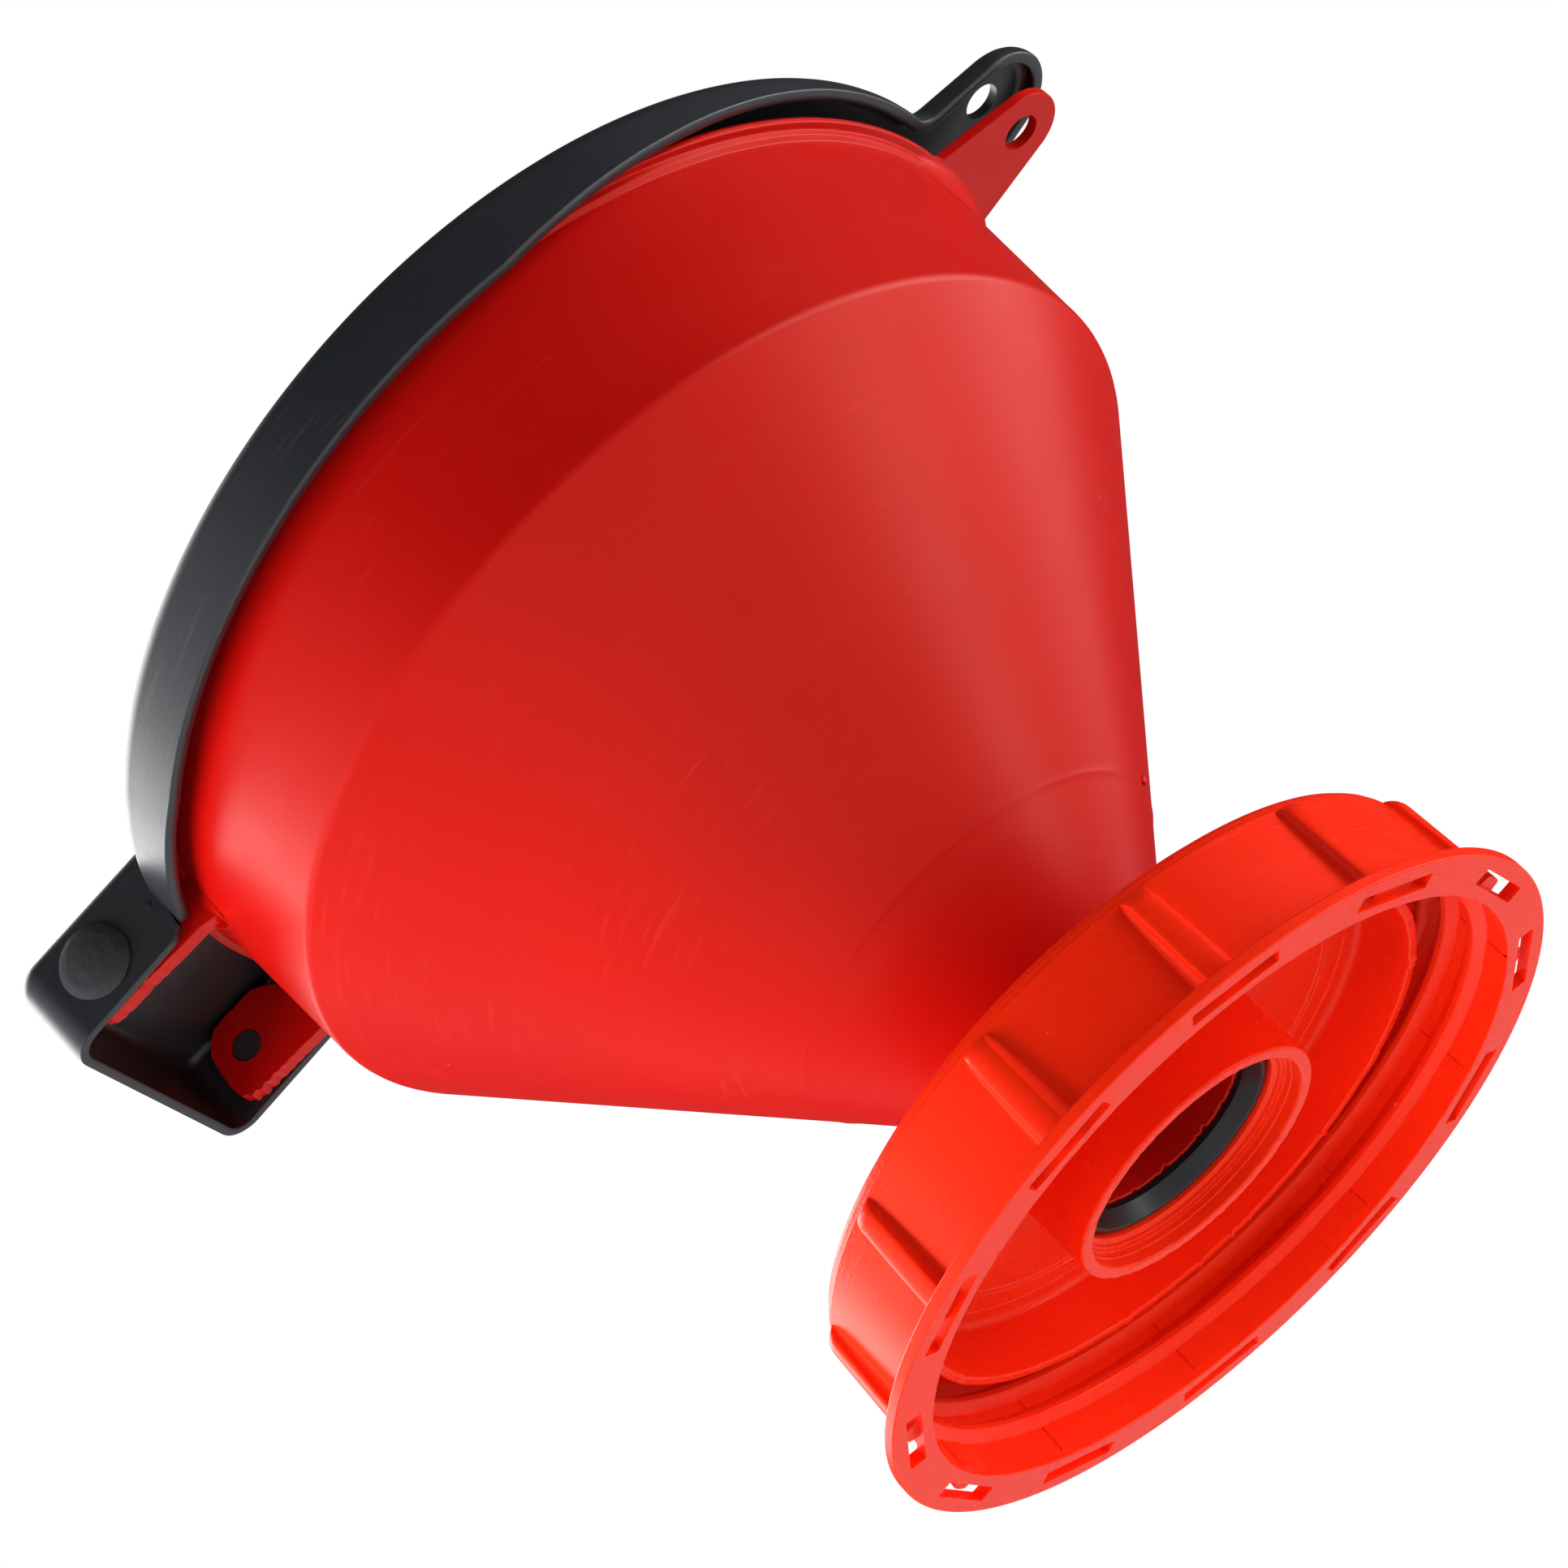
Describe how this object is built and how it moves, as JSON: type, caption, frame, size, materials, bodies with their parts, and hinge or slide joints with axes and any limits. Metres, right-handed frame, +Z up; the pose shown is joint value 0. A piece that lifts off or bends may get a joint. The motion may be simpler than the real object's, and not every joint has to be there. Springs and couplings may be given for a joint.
{
  "type": "lockable filling funnel with tank cap",
  "caption": "Wide plastic filling funnel with a hinged lid, padlock ears and a swivelling screw cap for a liquid tank.",
  "frame": {"origin": "centre of the cap mouth on the funnel axis, level with the lower face of the cap flange", "axes": "+Z up along the funnel axis to the lid, +X to the padlock ears, -X to the lid hinge"},
  "size_m": [0.3336, 0.2684, 0.2447],
  "materials": {
    "red_plastic": "satin gloss moulded polyethylene",
    "black_plastic": "satin moulded polyethylene",
    "pin_plastic": "fine grained moulded plastic",
    "cap_plastic": "satin gloss moulded polyethylene",
    "seal_rubber": "smooth sealing rubber",
    "gasket_foam": "pale closed-cell sealing foam"
  },
  "bodies": {
    "funnel": {"funnel_body": "red_plastic", "outlet_seal": "seal_rubber"},
    "lid": {"lid": "black_plastic", "hinge_pin_front": "pin_plastic", "hinge_pin_rear": "pin_plastic"},
    "cap": {"screw_cap": "cap_plastic", "tank_gasket": "gasket_foam"}
  },
  "joints": [
    {"name": "lid_hinge", "type": "hinge", "parent": "funnel", "child": "lid", "pos_m": [-0.1482, 0, 0.2257], "axis": [0, -1, 0], "range_deg": [-2.1, 95]},
    {"name": "cap_turn", "type": "hinge", "parent": "funnel", "child": "cap", "pos_m": [0, 0, 0.037], "axis": [0, 0, 1], "continuous": true}
  ]
}
